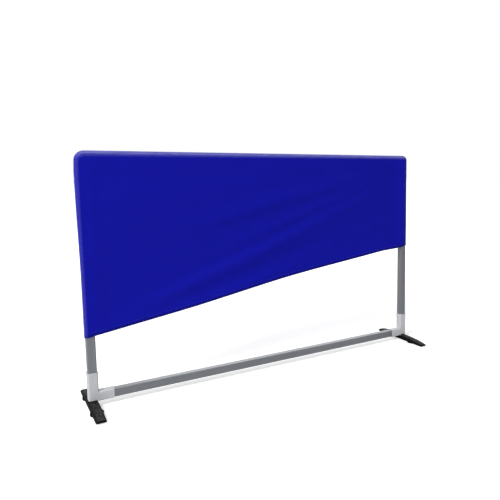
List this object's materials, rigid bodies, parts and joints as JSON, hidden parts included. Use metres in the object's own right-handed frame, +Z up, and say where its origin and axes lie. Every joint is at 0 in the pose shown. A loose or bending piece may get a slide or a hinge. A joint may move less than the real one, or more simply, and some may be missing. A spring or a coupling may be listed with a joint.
{
  "type": "table tennis barrier",
  "caption": "Free-standing table tennis court barrier: a square-tube frame on swivelling feet, with a removable cloth sleeve drawn over it askew.",
  "frame": {"origin": "on the floor, in the middle of the barrier's length and depth", "axes": "+X along the barrier towards the end where the sleeve sits higher, +Y through it towards the back, +Z up"},
  "size_m": [1.217, 0.278, 0.7513],
  "materials": {
    "aluminium_tube": "satin grey anodised",
    "corner_plastic": "light grey moulded",
    "foot_plastic": "black moulded, fine texture",
    "pad_rubber": "matt black",
    "fastener_steel": "zinc plated",
    "sleeve_cloth": "matt woven, royal blue"
  },
  "bodies": {
    "frame": {"bottom_rail": "aluminium_tube", "top_rail": "aluminium_tube", "left_post": "aluminium_tube", "right_post": "aluminium_tube", "left_lower_corner": "corner_plastic", "right_lower_corner": "corner_plastic", "left_upper_elbow": "corner_plastic", "right_upper_elbow": "corner_plastic", "left_corner_post_screw": "fastener_steel", "left_corner_rail_screw": "fastener_steel", "left_elbow_post_screw": "fastener_steel", "left_elbow_rail_screw": "fastener_steel", "right_corner_post_screw": "fastener_steel", "right_corner_rail_screw": "fastener_steel", "right_elbow_post_screw": "fastener_steel", "right_elbow_rail_screw": "fastener_steel", "left_pivot_bolt": "fastener_steel", "left_pivot_washer": "fastener_steel", "left_pivot_nut": "fastener_steel", "right_pivot_bolt": "fastener_steel", "right_pivot_washer": "fastener_steel", "right_pivot_nut": "fastener_steel"},
    "left_foot": {"left_foot_bar": "foot_plastic", "left_front_pad": "pad_rubber", "left_rear_pad": "pad_rubber"},
    "right_foot": {"right_foot_bar": "foot_plastic", "right_front_pad": "pad_rubber", "right_rear_pad": "pad_rubber"},
    "sleeve": {"sleeve_front_panel": "sleeve_cloth", "sleeve_back_panel": "sleeve_cloth", "sleeve_top_band": "sleeve_cloth", "sleeve_left_band": "sleeve_cloth", "sleeve_right_band": "sleeve_cloth"}
  },
  "joints": [
    {"name": "left_foot_swivel", "type": "hinge", "parent": "frame", "child": "left_foot", "pos_m": [-0.59, 0, 0.0225], "axis": [0, 0, 1], "range_deg": [0, 90]},
    {"name": "right_foot_swivel", "type": "hinge", "parent": "frame", "child": "right_foot", "pos_m": [0.59, 0, 0.0225], "axis": [0, 0, -1], "range_deg": [0, 90]},
    {"name": "sleeve_lift", "type": "slide", "parent": "frame", "child": "sleeve", "axis": [0, 0, 1], "range_m": [0, 0.56]}
  ]
}
